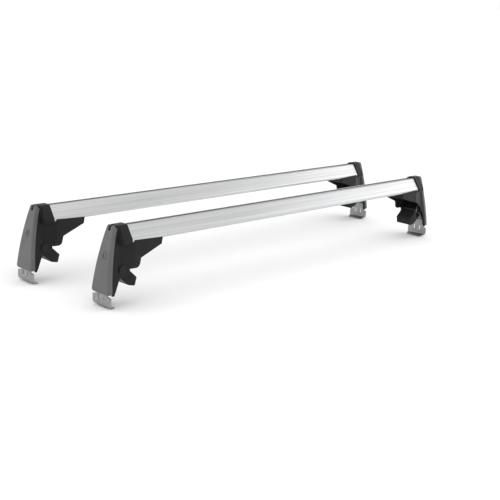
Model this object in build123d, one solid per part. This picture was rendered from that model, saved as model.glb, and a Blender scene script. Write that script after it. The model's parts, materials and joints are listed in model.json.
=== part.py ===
from build123d import *
import os
from math import sqrt

# Roof rack: two aluminium crossbars, each carried by two clamp feet. Sizes in mm, Z up.
# X runs along the bars, Y from the front bar to the rear bar, Z = 0 is the floor under the hooks.
#
# A foot is drawn in its own side view, as seen on the left end of a bar: x = 0 is where the cap
# meets the bar, x runs inward along the bar, z = 0 is the underside of the bar and y = 0 the
# middle of the bar. The foot at the right end is the same foot turned half round.

# Layout of the pair
front_span = 900.0  # free length of the front bar between its two caps
rear_span = 950.0  # the rear bar is a little longer
bar_pitch = 210.0  # between the centre lines of the bars

# Bar section
bar_width = 50.0
bar_height = 30.0
bar_top = 17.0  # width across the top, before rounding
bar_belly = 6.0  # height of the widest line
bar_wall = 2.4
bar_edge = 2.5  # radius of the lower edges
bar_belly_radius = 8.0
bar_shoulder = 4.0  # radius of the upper edges
slot_mouth = 8.0
slot_lip = 2.6
slot_width = 14.0
slot_depth = 7.0

# Clearances
fit_gap = 0.15  # bar in its socket
seam_gap = 0.3  # between fixed mouldings
move_gap = 0.4  # between moving faces
pin_gap = 0.05  # round pins
lock_gap = 0.1  # round the lock's barrel
thread_gap = 0.1  # round the clamp bolt's shank

# Tower
socket_depth = 18.0
cap_wall = 2.2
tower_width = 52.0
tower_wall = 3.0
tower_floor = 3.0
wrap_root = 5.0  # height of the brace over the bar's lower edge, at the cap
wrap_tip = 1.5  # and at the brace's tip
brace_reach = 73.0
brace_reach_open = 64.0  # the open side's brace ends sooner
brace_tip = 11.0
brace_end_wall = 8.0
knee_in = 22.0
knee_drop = 31.0
heel_in = 18.0
heel_out = 2.0
heel_drop = 49.0
heel_radius = 9.0
arch_foot = 6.0  # width of the open side's leg at its foot
arch_in = 22.0
arch_drop = 23.5
arch_rise = 21.0
back_drop = 37.5  # lower edge of the wall behind the cover
cap_line_width = 0.8  # groove round the cap, level with the bar's lower edge
cap_line_depth = 0.6

# Cover, hinged at its top
cover_depth = 9.0
cover_wall = 2.4
cover_out = 53.0  # reach of the outer face at its foot
cover_drop = 94.0
cover_bulge = 4.0
cover_edge = 3.2
cover_corner = 7.0
hinge_out = 28.0
hinge_pin_radius = 1.5
hinge_pin_length = 16.0
knuckle_width = 6.0

# Lock in the cover
lock_drop = 22.0
lock_face_radius = 7.5
lock_face = 1.6
barrel_radius = 6.0
barrel_length = 11.9
key_slot_length = 7.0
key_slot_width = 1.6
key_slot_depth = 3.0
cam_length = 17.0
cam_width = 8.0
cam_thick = 2.0
window_width = 12.6
window_height = 25.0

# Foot seen from the bar's end: it narrows upward, and more so towards its outer end
end_place = 22.0  # the outer section starts this far out
end_width_low = 54.0  # width of that section at the cover's foot
end_width_top = 19.0  # and at the cap's top

# Pad carrier and boot
panel_wall = 3.0
carrier_reach = 20.0  # from the middle of the bar to the carrier's open side
seam_drop_out = 15.0
seam_out = 4.0
seam_drop_in = 46.0
leg_top_out = 3.0
leg_top_drop = 50.5
leg_low_out = 10.0
leg_low_drop = 76.0
notch_out = 25.0
notch_drop = 64.0
panel_drop = 95.0
panel_tip = 4.0
mouth_out = 27.0  # the carrier's inner ribs stop here, to leave room for the clamp plate
boot_width = 40.0
boot_nose_in = 17.0
boot_nose_drop = 69.0
boot_sole_in = 13.0
boot_sole_drop = 85.0
boot_heel_out = 1.0
boot_heel_drop = 82.0
boot_radius = 2.5
boot_groove_width = 1.4
boot_groove_depth = 1.0
boot_groove_count = 3
tenon_length = 10.0
tenon_width = 30.0
tenon_share = 0.56
boss_radius = 4.5
boss_spread = 11.0
boss_drop = 33.0
boss_length = 18.0

# Clamp plate, bolt and nut
plate_thick = 2.5
plate_width = 30.0
plate_top = 38.5
plate_upper_out = 36.8
plate_upper_drop = 66.0
plate_lower_out = 47.5
plate_lower_drop = 80.0
plate_bend = 6.0
hook_drop = 121.0
hook_tip_out = 33.0
hook_fall = 3.0  # how much lower the hook's tip is than its root
hook_width = 53.0  # the plate is wider below the cover
hook_shoulder_drop = 96.5  # where it starts to widen
hook_shoulder = 2.5
hook_corner = 7.0
plate_slot_width = 3.0
plate_slot_height = 11.0
plate_slot_pitch = 16.0
plate_slot_drop = 95.0
bolt_drop = 50.0
bolt_radius = 3.9
bolt_length = 25.5
bolt_head_radius = 6.5
bolt_head = 5.2
bolt_hex = 6.0
bolt_hex_depth = 3.2
washer_radius = 9.0
washer_thick = 1.6
nut_out = 17.0
nut_radius = 6.5
nut_length = 32.0
nut_wall = 3.0

# Small screws
screw_radius = 2.0
screw_head_radius = 3.8
screw_head = 2.4
screw_length = 14.0
bar_screw_out = 9.0
bar_screw_radius = 2.4
bar_screw_head_radius = 4.6
bar_screw_head = 3.0
bar_screw_grip = 6.0

# Derived places
half_tower = tower_width / 2
half_cap = bar_width / 2 + fit_gap + cap_wall
cap_top = bar_height + fit_gap + cap_wall
nose_radius = cover_depth / 2
hinge_z = cap_top - nose_radius
floor_z = hook_drop
far_out = cover_out + 30
far_down = hook_drop + 20


def section_face(*points):
    """A face across the bar, from points (y, z)."""
    return Plane.YZ * make_face(Polyline(*points, close=True))


def side_face(*points):
    """A face in the foot's side view, from points (x, z)."""
    return Plane.XZ * make_face(Polyline(*points, close=True))


def slab(face, y_low, y_high):
    """A side-view face thickened from y_low to y_high."""
    return extrude(Pos(0, y_low, 0) * face, amount=y_high - y_low, dir=(0, 1, 0))


def run(face, x_low, x_high):
    """A section face drawn out along the bar."""
    return extrude(Pos(x_low, 0, 0) * face, amount=x_high - x_low, dir=(1, 0, 0))


def rod(radius, start, end):
    """A round rod between two points."""
    axis = Vector(*end) - Vector(*start)
    return extrude(Plane(origin=start, z_dir=axis) * Circle(radius), amount=axis.length)


def block(x, y, z):
    """A box from its limits along each axis."""
    size = (x[1] - x[0], y[1] - y[0], z[1] - z[0])
    middle = ((x[0] + x[1]) / 2, (y[0] + y[1]) / 2, (z[0] + z[1]) / 2)
    return Pos(*middle) * Box(*size)


def face_x(z):
    """Where the cover's bowed outer face lies at height z."""
    top = Vector(-hinge_out - nose_radius, hinge_z)
    foot = Vector(-cover_out, -cover_drop)
    chord = foot - top
    radius = (chord.length**2 / 4 + cover_bulge**2) / (2 * cover_bulge)
    inward = Vector(-chord.Y, chord.X).normalized()
    centre = (top + foot) / 2 + inward * (radius - cover_bulge)
    return centre.X - sqrt(radius**2 - (z - centre.Y) ** 2)


def end_x(z):
    """Where the tower's end lies at height z, just inside the cover."""
    return face_x(z) + cover_depth + move_gap


def bow(z_from, z_to, inset):
    """An arc that follows the cover's outer face, moved inward."""
    levels = (z_from, (z_from + z_to) / 2, z_to)
    return ThreePointArc(*[(face_x(z) + inset, z) for z in levels])


def bowed_face(z_from, z_to, inset, *points):
    """A side-view face with the bow as one side, closed through the given points."""
    arc = bow(z_from, z_to, inset)
    rest = Polyline((arc @ 1), *points, (arc @ 0))
    return Plane.XZ * make_face([arc, *rest.edges()])


def rounded(face, corners, radius):
    """Round the corners of a face that lie at the given points."""
    chosen = []
    for corner in corners:
        chosen.append(min(face.vertices(), key=lambda v: (Vector(v) - Vector(*corner)).length))
    return fillet(chosen, radius)


def loaf(grow=0.0):
    """The bar's outer section: flat below, widest low down, leaning in to a narrow top."""
    half = bar_width / 2
    crown = bar_top / 2
    face = section_face(
        (-half, 0), (half, 0), (half, bar_belly), (crown, bar_height), (-crown, bar_height), (-half, bar_belly)
    )
    face = rounded(face, [(0, -half, 0), (0, half, 0)], bar_edge)
    face = rounded(face, [(0, -half, bar_belly), (0, half, bar_belly)], bar_belly_radius)
    face = rounded(face, [(0, -crown, bar_height), (0, crown, bar_height)], bar_shoulder)
    return offset(face, amount=grow) if grow else face


def crossbar(span):
    """The hollow extrusion, with its T-slot open along the whole top."""
    slot_floor = bar_height - slot_lip - slot_depth
    half_slot = slot_width / 2
    half_mouth = slot_mouth / 2
    solid = run(loaf(), -socket_depth, span + socket_depth)
    keep_out = section_face(
        (-half_slot - bar_wall, slot_floor - bar_wall),
        (half_slot + bar_wall, slot_floor - bar_wall),
        (half_slot + bar_wall, bar_height),
        (-half_slot - bar_wall, bar_height),
    )
    hollow = loaf(-bar_wall) - keep_out
    slot = section_face(
        (-half_slot, slot_floor),
        (half_slot, slot_floor),
        (half_slot, bar_height - slot_lip),
        (half_mouth, bar_height - slot_lip),
        (half_mouth, bar_height + 1),
        (-half_mouth, bar_height + 1),
        (-half_mouth, bar_height - slot_lip),
        (-half_slot, bar_height - slot_lip),
    )
    solid -= run(hollow, -socket_depth, span + socket_depth)
    solid -= run(slot, -socket_depth, span + socket_depth)
    for x in (-bar_screw_out, span + bar_screw_out):
        solid -= rod(bar_screw_radius + pin_gap, (x, 0, -1), (x, 0, bar_wall + 1))
    return solid


def wedge(grow):
    """The room of a foot: the cap's section at the bar, narrowing to the outer section."""
    ridge = cap_top + nose_radius
    low = -far_down - 20
    waist = bar_belly + 2 * cap_wall
    lean = (bar_width - bar_top) / (2 * (bar_height - bar_belly))
    taper = (end_width_low - end_width_top) / (2 * (ridge + cover_drop))
    near = [(half_cap, low), (half_cap, waist), (half_cap - lean * (ridge - waist), ridge)]
    far = [(end_width_top / 2 + taper * (ridge - z), z) for z in (low, waist, ridge)]
    faces = []
    for side in (near, far):
        right = [(y + grow, z) for y, z in side]
        left = [(-y, z) for y, z in reversed(right)]
        faces.append(section_face(*right, *left))
    room = loft([Pos(brace_tip, 0, 0) * faces[0], Pos(-end_place, 0, 0) * faces[1]], ruled=True)
    room += run(faces[0], brace_tip, brace_reach + 30)
    return room + run(faces[1], -far_out - 10, -end_place)


def seam_line(drop):
    """The two ends of the diagonal seam in side view, lowered by drop."""
    inner = Vector(-seam_out, -seam_drop_in - drop)
    outer = Vector(end_x(-seam_drop_out), -seam_drop_out - drop)
    return outer, inner


def tower():
    """Cap, brace and arched body in one hollow moulding."""
    outer, inner = seam_line(0)
    beyond = outer + (outer - inner) * 0.5
    closed_side = side_face(
        (-far_out, wrap_root),
        (0, wrap_root),
        (brace_reach, wrap_tip),
        (brace_reach - 2, -brace_tip),
        (knee_in, -knee_drop),
        (heel_in, -heel_drop),
        (-heel_out, -heel_drop),
        (inner.X, inner.Y),
        (beyond.X, beyond.Y),
    )
    closed_side = rounded(closed_side, [(heel_in, 0, -heel_drop)], heel_radius)
    foot = Vector(end_x(-cover_drop) + arch_foot, -cover_drop)
    crown = Vector(arch_in, -arch_drop)
    chord = crown - foot
    mid = (foot + crown) / 2 + Vector(-chord.Y, chord.X).normalized() * arch_rise
    arch = ThreePointArc((foot.X, foot.Y), (mid.X, mid.Y), (crown.X, crown.Y))
    rest = Polyline(
        (crown.X, crown.Y),
        (brace_reach_open - 2, -brace_tip),
        (brace_reach_open, wrap_tip),
        (0, wrap_root),
        (-far_out, wrap_root),
        (-far_out, -cover_drop),
        (foot.X, foot.Y),
    )
    open_side = Plane.XZ * make_face([arch, *rest.edges()])
    inset = cover_depth + move_gap
    core = bowed_face(
        -tower_floor,
        -back_drop,
        inset + tower_wall,
        (-far_out, -back_drop),
        (-far_out, -far_down),
        (brace_reach_open - brace_end_wall, -far_down),
        (brace_reach_open - brace_end_wall, -tower_floor),
    )
    trim = bowed_face(
        hinge_z,
        -cover_drop,
        inset,
        (end_x(-cover_drop), -far_down),
        (brace_reach + 20, -far_down),
        (brace_reach + 20, cap_top + 20),
        (end_x(hinge_z), cap_top + 20),
    )
    outside = wedge(0)
    inside = wedge(-tower_wall) & block((-far_out, far_out), (tower_wall - half_tower, half_tower - tower_wall), (-far_down, far_down))
    body = slab(open_side, -half_tower, 0) & inside
    body += slab(open_side, 0, half_tower) & outside
    body -= slab(core, -half_tower, half_tower) & inside
    body += (slab(closed_side, -half_tower, 0) & outside) - inside
    body += block((0, brace_reach - 2), (-half_tower + 1, half_tower - tower_wall), (-tower_floor, 1))
    body += run(loaf(fit_gap + cap_wall), -far_out, 0) & outside
    body = body & slab(trim, -half_cap - 5, half_cap + 5)
    body -= run(loaf(fit_gap), -socket_depth, brace_reach + 10)
    for side in (-half_cap, half_cap):
        reach = (side - cap_line_depth, side + cap_line_depth)
        body -= block((-far_out, -cap_line_width), reach, (wrap_root, wrap_root + cap_line_width))
    knuckle = rod(nose_radius, (-hinge_out, -knuckle_width / 2, hinge_z), (-hinge_out, knuckle_width / 2, hinge_z))
    knuckle += block(
        (-hinge_out, end_x(hinge_z) + 1), (-knuckle_width / 2, knuckle_width / 2), (hinge_z - 3, hinge_z + 3)
    )
    body += knuckle
    body -= rod(hinge_pin_radius + pin_gap / 5, (-hinge_out, -20, hinge_z), (-hinge_out, 20, hinge_z))
    wall_x = (end_x(-lock_drop) - 6, end_x(-lock_drop) + tower_wall + 5)
    half_high = window_height / 2
    body -= block(wall_x, (-window_width / 2, window_width / 2), (-lock_drop - half_high, -lock_drop + half_high))
    for y in (-boss_spread, boss_spread):
        body -= rod(screw_radius + thread_gap, (-far_out, y, -boss_drop), (-notch_out, y, -boss_drop))
        body -= rod(screw_head_radius + 0.4, (-far_out, y, -boss_drop), (screw_seat(), y, -boss_drop))
    body -= rod(bar_screw_radius + thread_gap, (-bar_screw_out, 0, -tower_floor - 1), (-bar_screw_out, 0, 1))
    return body


def boss_seat():
    """Where the carrier's screw bosses meet the inside of the tower's back wall."""
    return end_x(boss_radius - boss_drop) + tower_wall + seam_gap / 3


def screw_seat():
    """The flat seat of the carrier screws' heads in the tower's back wall."""
    return end_x(-boss_drop) + 1.0


def carrier():
    """Side panel, ribs, roof leg and the seat of the barrel nut in one moulding."""
    outer, inner = seam_line(seam_gap)
    top = outer.Y
    points = (
        (end_x(-panel_drop) + panel_tip, -panel_drop),
        (-notch_out, -notch_drop),
        (-leg_low_out, -leg_low_drop),
        (-leg_top_out, -leg_top_drop),
        (inner.X, inner.Y),
    )
    outline = bowed_face(top, -panel_drop, cover_depth + move_gap, *points)
    panel_face = -half_tower + panel_wall
    room = wedge(-panel_wall) & block((-far_out, far_out), (panel_face, half_tower), (-far_down, far_down))
    body = (slab(outline, -half_tower, 0) & wedge(0)) - room
    ribs = outline - offset(outline, amount=-panel_wall)
    clear = wedge(-tower_wall - seam_gap) + block((-far_out, far_out), (-half_tower, 0), (-far_down, far_down))
    ribs = slab(ribs, -half_tower, carrier_reach) & wedge(0) & clear
    body += ribs - block((-far_out, -mouth_out), (-half_tower, carrier_reach), (-far_down, 0))
    wall_in = boss_seat()
    for y in (-boss_spread, boss_spread):
        body += rod(boss_radius, (wall_in, y, -boss_drop), (wall_in + boss_length, y, -boss_drop))
    low_y = panel_face
    high_y = panel_face + nut_length + nut_wall
    body += rod(nut_radius + nut_wall, (-nut_out, low_y, -bolt_drop), (-nut_out, high_y, -bolt_drop))
    body -= rod(nut_radius + pin_gap, (-nut_out, low_y + nut_wall, -bolt_drop), (-nut_out, high_y + 1, -bolt_drop))
    body -= rod(bolt_radius + 1.2, (-far_out, 0, -bolt_drop), (-leg_top_out - panel_wall, 0, -bolt_drop))
    body += tenon(0.0)
    for y in (-boss_spread, boss_spread):
        body -= rod(screw_radius + pin_gap, (wall_in - 1, y, -boss_drop), (wall_in + screw_length, y, -boss_drop))
    return body


def tenon(grow):
    """The end of the roof leg that the boot is pushed over."""
    high = Vector(-leg_top_out, -leg_top_drop)
    low = Vector(-leg_low_out, -leg_low_drop)
    along = low - high
    out = Vector(-along.Y, along.X).normalized()
    step = along.normalized() * grow
    start = high + along * (1 - tenon_share) / 2 - step - out
    end = high + along * (1 + tenon_share) / 2 + step - out
    reach = out * (tenon_length + grow + 1)
    corners = [start, end, end + reach, start + reach]
    return slab(side_face(*[(c.X, c.Y) for c in corners]), -tenon_width / 2 - grow, tenon_width / 2 + grow)


def boot():
    """Rubber boot on the roof leg, with its sole at the lower end."""
    face = side_face(
        (-leg_top_out, -leg_top_drop),
        (-leg_low_out, -leg_low_drop),
        (-boot_heel_out, -boot_heel_drop),
        (boot_sole_in, -boot_sole_drop),
        (boot_nose_in, -boot_nose_drop),
    )
    soft = [
        (-boot_heel_out, 0, -boot_heel_drop),
        (boot_sole_in, 0, -boot_sole_drop),
        (boot_nose_in, 0, -boot_nose_drop),
    ]
    face = rounded(face, soft, boot_radius)
    body = slab(face, -boot_width / 2, boot_width / 2) - tenon(thread_gap)
    nose = Vector(boot_nose_in, -boot_nose_drop)
    along = Vector(-leg_top_out, -leg_top_drop) - nose
    for step in range(boot_groove_count):
        middle = nose + along * (step + 1.3) / (boot_groove_count + 1.3)
        groove = Pos(middle.X, 0, middle.Y) * Box(2 * boot_groove_depth, boot_width, boot_groove_width)
        body -= groove
    return body


def cover():
    """The flap over the outer end: a bowed, open shell with two hinge knuckles at its top."""
    below = -cover_drop - cover_corner
    arc = bow(hinge_z, below, 0)
    back = bow(below, hinge_z, cover_depth)
    profile = Plane.XZ * make_face([arc, Line(arc @ 1, back @ 0), back, Line(back @ 1, arc @ 0)])
    half = end_width_low / 2
    outline = section_face((-half, -cover_drop), (half, -cover_drop), (half, cap_top), (-half, cap_top))
    outline = rounded(outline, [(0, -half, -cover_drop), (0, half, -cover_drop)], cover_corner)
    shell = slab(profile, -half_cap - 1, half_cap + 1) & run(outline, -far_out, 0) & wedge(0)
    shell = fillet(shell.edges().filter_by(on_outer_rim), cover_edge)
    ceiling = hinge_z - nose_radius - move_gap
    hollow = bowed_face(ceiling, -far_down, cover_wall, (-hinge_out / 2, -far_down), (-hinge_out / 2, ceiling))
    shell -= slab(hollow, -half_cap, half_cap) & wedge(-cover_wall)
    half_pin = hinge_pin_length / 2
    shell += rod(nose_radius, (-hinge_out, -half_pin, hinge_z), (-hinge_out, half_pin, hinge_z))
    half_gap = knuckle_width / 2 + move_gap
    shell -= block((-far_out, 0), (-half_gap, half_gap), (ceiling, cap_top + 5))
    shell -= rod(hinge_pin_radius + pin_gap, (-hinge_out, -half_cap, hinge_z), (-hinge_out, half_cap, hinge_z))
    seat = lock_plane()
    shell -= extrude(seat * Circle(barrel_radius + lock_gap), amount=-2 * cover_depth)
    shell -= extrude(seat * Circle(lock_face_radius + lock_gap), amount=cover_depth)
    return shell


def on_outer_rim(edge):
    """Whether an edge runs round the cover's bowed face, below its flat top."""
    middle = edge.center()
    return abs(middle.X - face_x(middle.Z)) < cover_wall / 4 and middle.Z < hinge_z - 0.1


def lock_plane():
    """The lock's seat in the cover: its face looks out square to the bowed face."""
    z = -lock_drop
    slope = (face_x(z + 1) - face_x(z - 1)) / 2
    out = Vector(-1, 0, slope).normalized()
    origin = Vector(face_x(z), 0, z) - out * (lock_face - 0.5)
    return Plane(origin=origin, x_dir=(0, 1, 0), z_dir=out)


def lock():
    """Lock barrel with a key slot in its face."""
    seat = lock_plane()
    body = extrude(seat * Circle(lock_face_radius), amount=lock_face)
    body += extrude(seat * Circle(barrel_radius), amount=-barrel_length)
    top = seat.offset(lock_face)
    body -= extrude(top * Rectangle(key_slot_width, key_slot_length), amount=-key_slot_depth)
    return body


def lock_cam():
    """The tongue on the barrel's inner end, upright while the cover is unlocked."""
    seat = lock_plane().offset(-barrel_length)
    return extrude(seat * SlotOverall(cam_length, cam_width, rotation=90), amount=-cam_thick)


def clamp_plate():
    """Pressed plate with a joggle, two slots and a hook that goes under the door frame."""
    half = plate_thick / 2
    root = -hook_drop + hook_fall
    spine = [
        (-plate_upper_out - half, -plate_top),
        (-plate_upper_out - half, -plate_upper_drop),
        (-plate_lower_out - half, -plate_lower_drop),
        (-plate_lower_out - half, root),
        (-hook_tip_out, -hook_drop),
    ]
    line = FilletPolyline(*spine, radius=plate_bend)
    strip = Plane.XZ * make_face(offset(line, amount=plate_thick, side=Side.LEFT, closed=True))
    wide = plate_width / 2
    broad = hook_width / 2
    lip = broad - hook_corner
    shoulder = -hook_shoulder_drop - hook_shoulder
    outline = section_face(
        (-wide, -plate_top),
        (wide, -plate_top),
        (wide, -hook_shoulder_drop),
        (broad, shoulder),
        (broad, root),
        (-broad, root),
        (-broad, shoulder),
        (-wide, -hook_shoulder_drop),
    )
    outline = rounded(outline, [(0, -broad, root), (0, broad, root)], hook_corner)
    outline += section_face((-lip, root + 1), (lip, root + 1), (lip, -far_down), (-lip, -far_down))
    plate = slab(strip, -broad, broad) & run(outline, -far_out, 0)
    x = -plate_lower_out
    for y in (-plate_slot_pitch / 2, plate_slot_pitch / 2):
        slot = Plane.YZ * Pos(y, -plate_slot_drop - plate_slot_height / 2) * SlotOverall(
            plate_slot_height, plate_slot_width, rotation=90
        )
        plate -= run(slot, x - 5, x + 5)
    plate -= rod(bolt_radius + 0.5, (-far_out, 0, -bolt_drop), (0, 0, -bolt_drop))
    return plate


def plate_face():
    """Outer face of the clamp plate under the washer."""
    return -plate_upper_out - plate_thick / 2


def washer():
    """Plain washer between the bolt's head and the clamp plate."""
    start = (plate_face(), 0, -bolt_drop)
    end = (plate_face() - washer_thick, 0, -bolt_drop)
    return rod(washer_radius, start, end) - rod(bolt_radius + 0.3, (0, 0, -bolt_drop), (-far_out, 0, -bolt_drop))


def clamp_bolt():
    """Bolt with a hexagon socket, turned with a key behind the open cover."""
    under = plate_face() - washer_thick - thread_gap
    seat = Plane(origin=(under, 0, -bolt_drop), z_dir=(-1, 0, 0))
    body = extrude(seat * Circle(bolt_head_radius), amount=bolt_head)
    body = fillet(body.edges().filter_by(GeomType.CIRCLE).sort_by(Axis.X)[0], 1.2)
    body += extrude(seat * Circle(bolt_radius), amount=-bolt_length)
    body = chamfer(body.edges().filter_by(GeomType.CIRCLE).sort_by(Axis.X)[-1], 0.8)
    socket = seat.offset(bolt_head) * RegularPolygon(bolt_hex / 2, 6, major_radius=False)
    return body - extrude(socket, amount=-bolt_hex_depth)


def barrel_nut():
    """Cross nut that the bolt screws into, lying in the carrier."""
    low_y = -half_tower + panel_wall + nut_wall
    body = rod(nut_radius, (-nut_out, low_y, -bolt_drop), (-nut_out, low_y + nut_length, -bolt_drop))
    bore = rod(bolt_radius + thread_gap, (-far_out, 0, -bolt_drop), (0, 0, -bolt_drop))
    return body - bore


def hinge_pin():
    """Pin of the cover's hinge."""
    half = hinge_pin_length / 2
    return rod(hinge_pin_radius, (-hinge_out, -half, hinge_z), (-hinge_out, half, hinge_z))


def pan_screw(seat, radius, length, head_radius, head):
    """Screw whose head stands on the seat plane and whose shank runs the other way."""
    body = extrude(seat * Circle(head_radius), amount=head)
    return body + extrude(seat * Circle(radius), amount=-length)


def carrier_screws():
    """The two screws that hold the carrier behind the tower's back wall."""
    x = screw_seat()
    seats = [Plane(origin=(x, y, -boss_drop), z_dir=(-1, 0, 0)) for y in (-boss_spread, boss_spread)]
    return [pan_screw(s, screw_radius, screw_length, screw_head_radius, screw_head) for s in seats]


def bar_screw():
    """The screw from below that holds the tower to the bar."""
    seat = Plane(origin=(-bar_screw_out, 0, -tower_floor), z_dir=(0, 0, -1))
    length = tower_floor + bar_screw_grip
    return pan_screw(seat, bar_screw_radius, length, bar_screw_head_radius, bar_screw_head)


ends = {
    "front_left": Pos(-front_span / 2, -bar_pitch / 2, floor_z),
    "front_right": Pos(front_span / 2, -bar_pitch / 2, floor_z) * Rot(0, 0, 180),
    "rear_left": Pos(-rear_span / 2, bar_pitch / 2, floor_z),
    "rear_right": Pos(rear_span / 2, bar_pitch / 2, floor_z) * Rot(0, 0, 180),
}
pieces = {
    "tower": tower(),
    "carrier": carrier(),
    "boot": boot(),
    "cover": cover(),
    "lock": lock(),
    "lock_cam": lock_cam(),
    "clamp_plate": clamp_plate(),
    "clamp_bolt": clamp_bolt(),
    "washer": washer(),
}
shared = {
    "hinge_pins": [hinge_pin()],
    "barrel_nuts": [barrel_nut()],
    "carrier_screws": carrier_screws(),
    "bar_screws": [bar_screw()],
}

nodes = {}
nodes["bar_front"] = [ends["front_left"] * crossbar(front_span)]
nodes["bar_rear"] = [ends["rear_left"] * crossbar(rear_span)]
for end, place in ends.items():
    for name, solid in pieces.items():
        nodes[f"{name}_{end}"] = [place * solid]
for name, solids in shared.items():
    nodes[name] = [place * solid for place in ends.values() for solid in solids]

os.makedirs("parts", exist_ok=True)
for name, solids in nodes.items():
    shape = solids[0] if len(solids) == 1 else Compound(children=solids)
    export_step(shape, f"parts/{name}.step")
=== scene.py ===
import json
from math import cos, radians, sin, tan

import bmesh
import bpy
from mathutils import Matrix, Vector


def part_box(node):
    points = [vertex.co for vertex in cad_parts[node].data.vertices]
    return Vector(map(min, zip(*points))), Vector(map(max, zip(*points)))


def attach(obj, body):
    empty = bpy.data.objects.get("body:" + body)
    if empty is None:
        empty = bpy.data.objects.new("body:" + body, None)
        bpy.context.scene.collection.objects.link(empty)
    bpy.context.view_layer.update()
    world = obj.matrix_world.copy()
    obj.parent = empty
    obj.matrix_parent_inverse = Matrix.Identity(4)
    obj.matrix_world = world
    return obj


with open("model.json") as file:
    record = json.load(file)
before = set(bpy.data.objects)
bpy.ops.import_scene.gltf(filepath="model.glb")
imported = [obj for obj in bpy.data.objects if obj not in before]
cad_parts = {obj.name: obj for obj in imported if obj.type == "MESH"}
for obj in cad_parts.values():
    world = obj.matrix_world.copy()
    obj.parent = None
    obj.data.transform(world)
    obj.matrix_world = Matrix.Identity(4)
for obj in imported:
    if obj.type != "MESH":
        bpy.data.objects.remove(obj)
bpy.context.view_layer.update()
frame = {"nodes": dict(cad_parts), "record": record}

# Noise mostly stays between these values, so ramps and spreads run from one to the other.
NOISE_LOW, NOISE_HIGH = 0.3, 0.7


def new_material(name):
    """A material with its shader, and the texture coordinates in metres."""
    material = bpy.data.materials.new(name)
    material.use_nodes = True
    nodes = material.node_tree.nodes
    shader = nodes["Principled BSDF"]
    coords = nodes.new("ShaderNodeTexCoord")
    return material, shader, coords


def noise(material, coords, scale, stretch=(1, 1, 1), detail=4.0):
    """Noise in the part's frame, with its coordinates scaled along the axes by stretch."""
    tree = material.node_tree
    mapping = tree.nodes.new("ShaderNodeMapping")
    mapping.inputs["Scale"].default_value = stretch
    tree.links.new(coords.outputs["Object"], mapping.inputs["Vector"])
    texture = tree.nodes.new("ShaderNodeTexNoise")
    texture.inputs["Scale"].default_value = scale
    texture.inputs["Detail"].default_value = detail
    tree.links.new(mapping.outputs["Vector"], texture.inputs["Vector"])
    return texture.outputs["Fac"]


def ramp(owner, value, stops):
    """A colour ramp over a value, from (position, colour) stops, in a material or world."""
    tree = owner.node_tree
    node = tree.nodes.new("ShaderNodeValToRGB")
    elements = node.color_ramp.elements
    while len(elements) < len(stops):
        elements.new(0.5)
    for element, (position, colour) in zip(elements, stops):
        element.position = position
        element.color = (*colour, 1.0)
    tree.links.new(value, node.inputs["Fac"])
    return node.outputs["Color"]


def spread(material, value, low, high):
    """A noise value carried over to low..high."""
    tree = material.node_tree
    node = tree.nodes.new("ShaderNodeMapRange")
    node.inputs["From Min"].default_value = NOISE_LOW
    node.inputs["From Max"].default_value = NOISE_HIGH
    node.inputs["To Min"].default_value = low
    node.inputs["To Max"].default_value = high
    tree.links.new(value, node.inputs["Value"])
    return node.outputs["Result"]


def bump(material, shader, value, distance, strength):
    """Relief from a value, distance deep in metres."""
    tree = material.node_tree
    node = tree.nodes.new("ShaderNodeBump")
    node.inputs["Distance"].default_value = distance
    node.inputs["Strength"].default_value = strength
    tree.links.new(value, node.inputs["Height"])
    tree.links.new(node.outputs["Normal"], shader.inputs["Normal"])


def grey(value, tint=0.0):
    """A grey, a little cooler for a positive tint."""
    return (value * (1 - tint), value, value * (1 + tint))


def moulded(name, dark, light, rough, grain=900.0, depth=0.00004, specular=0.4):
    """Moulded plastic: fine grain, faint clouds in its tone and gloss."""
    material, shader, coords = new_material(name)
    links = material.node_tree.links
    clouds = noise(material, coords, 28.0, detail=3.0)
    fine = noise(material, coords, grain, detail=2.0)
    tone = ramp(material, clouds, [(NOISE_LOW, grey(dark)), (NOISE_HIGH, grey(light))])
    links.new(tone, shader.inputs["Base Color"])
    links.new(spread(material, clouds, rough - 0.05, rough + 0.06), shader.inputs["Roughness"])
    bump(material, shader, fine, depth, 0.5)
    shader.inputs["Specular IOR Level"].default_value = specular
    return material


def extruded():
    """Clear anodised aluminium, with the faint draw lines of the extrusion along the bar."""
    material, shader, coords = new_material("bar_aluminium")
    links = material.node_tree.links
    lines = noise(material, coords, 420.0, stretch=(0.004, 1, 1), detail=5.0)
    clouds = noise(material, coords, 7.0, stretch=(0.4, 1, 1), detail=2.0)
    stops = [(NOISE_LOW, grey(0.5, 0.01)), (0.5, grey(0.58, 0.008)), (NOISE_HIGH, grey(0.66, 0.006))]
    links.new(ramp(material, lines, stops), shader.inputs["Base Color"])
    links.new(spread(material, clouds, 0.36, 0.44), shader.inputs["Roughness"])
    bump(material, shader, lines, 0.00001, 0.25)
    shader.inputs["Metallic"].default_value = 1.0
    return material


def plated(name, dark, light, rough):
    """Plated steel with a mottled finish."""
    material, shader, coords = new_material(name)
    links = material.node_tree.links
    mottle = noise(material, coords, 160.0, detail=6.0)
    tone = ramp(material, mottle, [(NOISE_LOW, grey(dark, 0.02)), (NOISE_HIGH, grey(light))])
    links.new(tone, shader.inputs["Base Color"])
    links.new(spread(material, mottle, rough - 0.08, rough + 0.1), shader.inputs["Roughness"])
    bump(material, shader, mottle, 0.00002, 0.3)
    shader.inputs["Metallic"].default_value = 1.0
    return material


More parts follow.
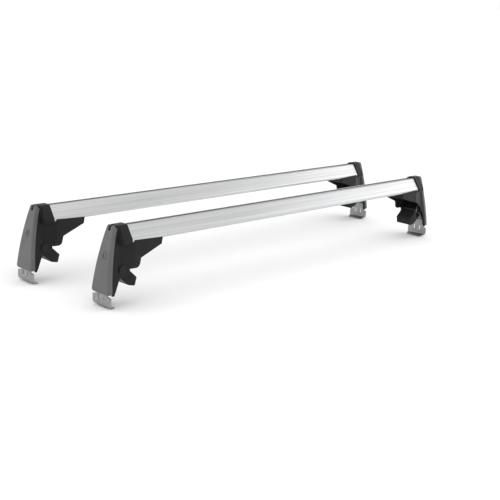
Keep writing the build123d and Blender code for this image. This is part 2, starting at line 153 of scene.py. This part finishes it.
looks = {
    "bar_aluminium": extruded(),
    "black_plastic": moulded("black_plastic", 0.008, 0.012, 0.44, specular=0.2),
    "black_rubber": moulded("black_rubber", 0.01, 0.018, 0.72, grain=500.0, depth=0.00008, specular=0.2),
    "grey_plastic": moulded("grey_plastic", 0.085, 0.11, 0.36, grain=1100.0, depth=0.00003, specular=0.5),
    "lock_metal": plated("lock_metal", 0.1, 0.16, 0.4),
    "hook_steel": plated("hook_steel", 0.26, 0.38, 0.38),
    "bolt_steel": plated("bolt_steel", 0.45, 0.62, 0.34),
}
for entry in frame["record"]["subparts"]:
    mesh = frame["nodes"][entry["node"]].data
    mesh.materials.clear()
    mesh.materials.append(looks[entry["material_slot"]])

# The black sleeve of each cap, closed round the bar's end and drawn in to the foot's narrow outer end.
BAR_HALF, BAR_BELLY, BAR_CROWN, BAR_TALL = 0.025, 0.006, 0.0085, 0.030
LOW_RADIUS, BELLY_RADIUS, CROWN_RADIUS = 0.0025, 0.008, 0.004
ARC_STEPS = 8
SOCKET = 0.018  # how far the bar reaches into the sleeve
SLEEVE_WALL = 0.00245
SLEEVE_GAP = 0.00015
SHOULDER, TAIL = 0.0187, 0.0228  # where the sleeve starts to narrow, and its outer end
TAIL_TOP, TAIL_TAPER = 0.0104, 0.134  # the outer end's half width at the bar's top, and its growth downward


def bar_outline(grow):
    """The bar's outer section as points (y, z), moved outward by grow."""
    corners = [
        (-BAR_HALF, 0, LOW_RADIUS),
        (BAR_HALF, 0, LOW_RADIUS),
        (BAR_HALF, BAR_BELLY, BELLY_RADIUS),
        (BAR_CROWN, BAR_TALL, CROWN_RADIUS),
        (-BAR_CROWN, BAR_TALL, CROWN_RADIUS),
        (-BAR_HALF, BAR_BELLY, BELLY_RADIUS),
    ]
    points = []
    for i, (y, z, radius) in enumerate(corners):
        corner = Vector((y, z))
        back = (Vector(corners[i - 1][:2]) - corner).normalized()
        onward = (Vector(corners[(i + 1) % len(corners)][:2]) - corner).normalized()
        half = back.angle(onward) / 2
        centre = corner + (back + onward).normalized() * (radius / sin(half))
        start = corner + back * (radius / tan(half)) - centre
        end = corner + onward * (radius / tan(half)) - centre
        for step in range(ARC_STEPS + 1):
            arm = start.lerp(end, step / ARC_STEPS).normalized()
            points.append(centre + arm * (radius + grow))
    return points


def tail_outline():
    """The sleeve's outer end, as wide as the foot is there."""
    points = []
    for y, z in bar_outline(SLEEVE_WALL):
        reach = TAIL_TOP + TAIL_TAPER * (BAR_TALL - z)
        points.append((max(-reach, min(reach, y)), z))
    return points


def cap_sleeve(name, mouth, outward, middle, underside):
    """One sleeve, from the bar's mouth outward, as a closed cup."""
    rings = [
        (SOCKET, bar_outline(SLEEVE_GAP)),
        (0, bar_outline(SLEEVE_GAP)),
        (0, bar_outline(SLEEVE_WALL)),
        (SHOULDER, bar_outline(SLEEVE_WALL)),
        (TAIL, tail_outline()),
    ]
    count = len(rings[0][1])
    build = bmesh.new()
    made = []
    for reach, ring in rings:
        x = mouth + outward * reach
        made.append([build.verts.new((x, middle + y, underside + z)) for y, z in ring])
    for first, second in zip(made, made[1:]):
        for i in range(count):
            j = (i + 1) % count
            build.faces.new((first[i], first[j], second[j], second[i]))
    build.faces.new(made[0])
    build.faces.new(made[-1])
    bmesh.ops.recalc_face_normals(build, faces=build.faces)
    mesh = bpy.data.meshes.new(name)
    build.to_mesh(mesh)
    build.free()
    mesh.materials.append(looks["black_plastic"])
    sleeve = bpy.data.objects.new(name, mesh)
    bpy.context.collection.objects.link(sleeve)
    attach(sleeve, "rack")


for bar in ("front", "rear"):
    low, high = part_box("bar_" + bar)
    middle = (low.y + high.y) / 2
    cap_sleeve("cap_sleeve_" + bar + "_left", low.x + SOCKET, -1, middle, low.z)
    cap_sleeve("cap_sleeve_" + bar + "_right", high.x - SOCKET, 1, middle, low.z)

# The floor, pale and plain, running back to where it meets the sky.
FLOOR_REACH = 60.0
floor_material, floor_shader, floor_coords = new_material("floor")
floor_noise = noise(floor_material, floor_coords, 0.8, detail=2.0)
floor_tone = ramp(floor_material, floor_noise, [(NOISE_LOW, grey(0.93)), (NOISE_HIGH, grey(0.95))])
floor_material.node_tree.links.new(floor_tone, floor_shader.inputs["Base Color"])
floor_shader.inputs["Roughness"].default_value = 0.9
floor_shader.inputs["Specular IOR Level"].default_value = 0.0
floor_corners = [(x * FLOOR_REACH, y * FLOOR_REACH, 0) for x, y in ((-1, -1), (1, -1), (1, 1), (-1, 1))]
floor_mesh = bpy.data.meshes.new("floor")
floor_mesh.from_pydata(floor_corners, [], [(0, 1, 2, 3)])
floor_mesh.materials.append(floor_material)
floor = bpy.data.objects.new("floor", floor_mesh)
bpy.context.collection.objects.link(floor)


def softbox(name, place, target, size, power):
    """A large area light at a place, turned to a target."""
    light = bpy.data.lights.new(name, "AREA")
    light.shape = "RECTANGLE"
    light.size, light.size_y = size
    light.energy = power
    lamp = bpy.data.objects.new(name, light)
    lamp.location = place
    lamp.rotation_euler = (Vector(target) - Vector(place)).to_track_quat("-Z", "Y").to_euler()
    bpy.context.collection.objects.link(lamp)


softbox("box_right", (1.9, -0.75, 0.8), (0.4, 0, 0.1), (1.6, 1.0), 6.5)
softbox("box_left", (-2.2, 1.2, 0.7), (-0.5, 0, 0.1), (1.2, 1.0), 4.0)

# A wide, soft light from nearly overhead.
sun = bpy.data.lights.new("sky_sun", "SUN")
sun.energy = 1.9
sun.angle = radians(100)
sun_lamp = bpy.data.objects.new("sky_sun", sun)
sun_lamp.rotation_euler = (radians(10), radians(-8), 0)
bpy.context.collection.objects.link(sun_lamp)

# The sky: white towards the horizon, darker overhead.
world = bpy.data.worlds.new("studio")
world.use_nodes = True
backdrop = world.node_tree.nodes["Background"]
sky_coords = world.node_tree.nodes.new("ShaderNodeTexCoord")
sky_axes = world.node_tree.nodes.new("ShaderNodeSeparateXYZ")
world.node_tree.links.new(sky_coords.outputs["Generated"], sky_axes.inputs["Vector"])
sky_tone = ramp(world, sky_axes.outputs["Z"], [(0.25, grey(1.0)), (0.65, grey(0.4))])
world.node_tree.links.new(sky_tone, backdrop.inputs["Color"])
bpy.context.scene.world = world

# The camera at the photograph's place: turned from +Y towards +X, looking down, with a slight roll.
CAMERA_PLACE = (-1.5624, -1.4903, 0.5797)
yaw, pitch, roll = 0.8086, 0.2577, 0.0555
ahead = Vector((sin(yaw) * cos(pitch), cos(yaw) * cos(pitch), -sin(pitch)))
right = Vector((cos(yaw), -sin(yaw), 0))
above = right.cross(ahead)
right, above = right * cos(roll) + above * sin(roll), above * cos(roll) - right * sin(roll)
lens = bpy.data.cameras.new("camera")
lens.sensor_width = 36.0
lens.lens = 71.08
lens.clip_end = 200.0
camera = bpy.data.objects.new("camera", lens)
turn = Matrix((right, above, -ahead)).transposed().to_4x4()
camera.matrix_world = Matrix.Translation(CAMERA_PLACE) @ turn
bpy.context.collection.objects.link(camera)
bpy.context.scene.camera = camera
bpy.context.scene.view_settings.view_transform = "Standard"
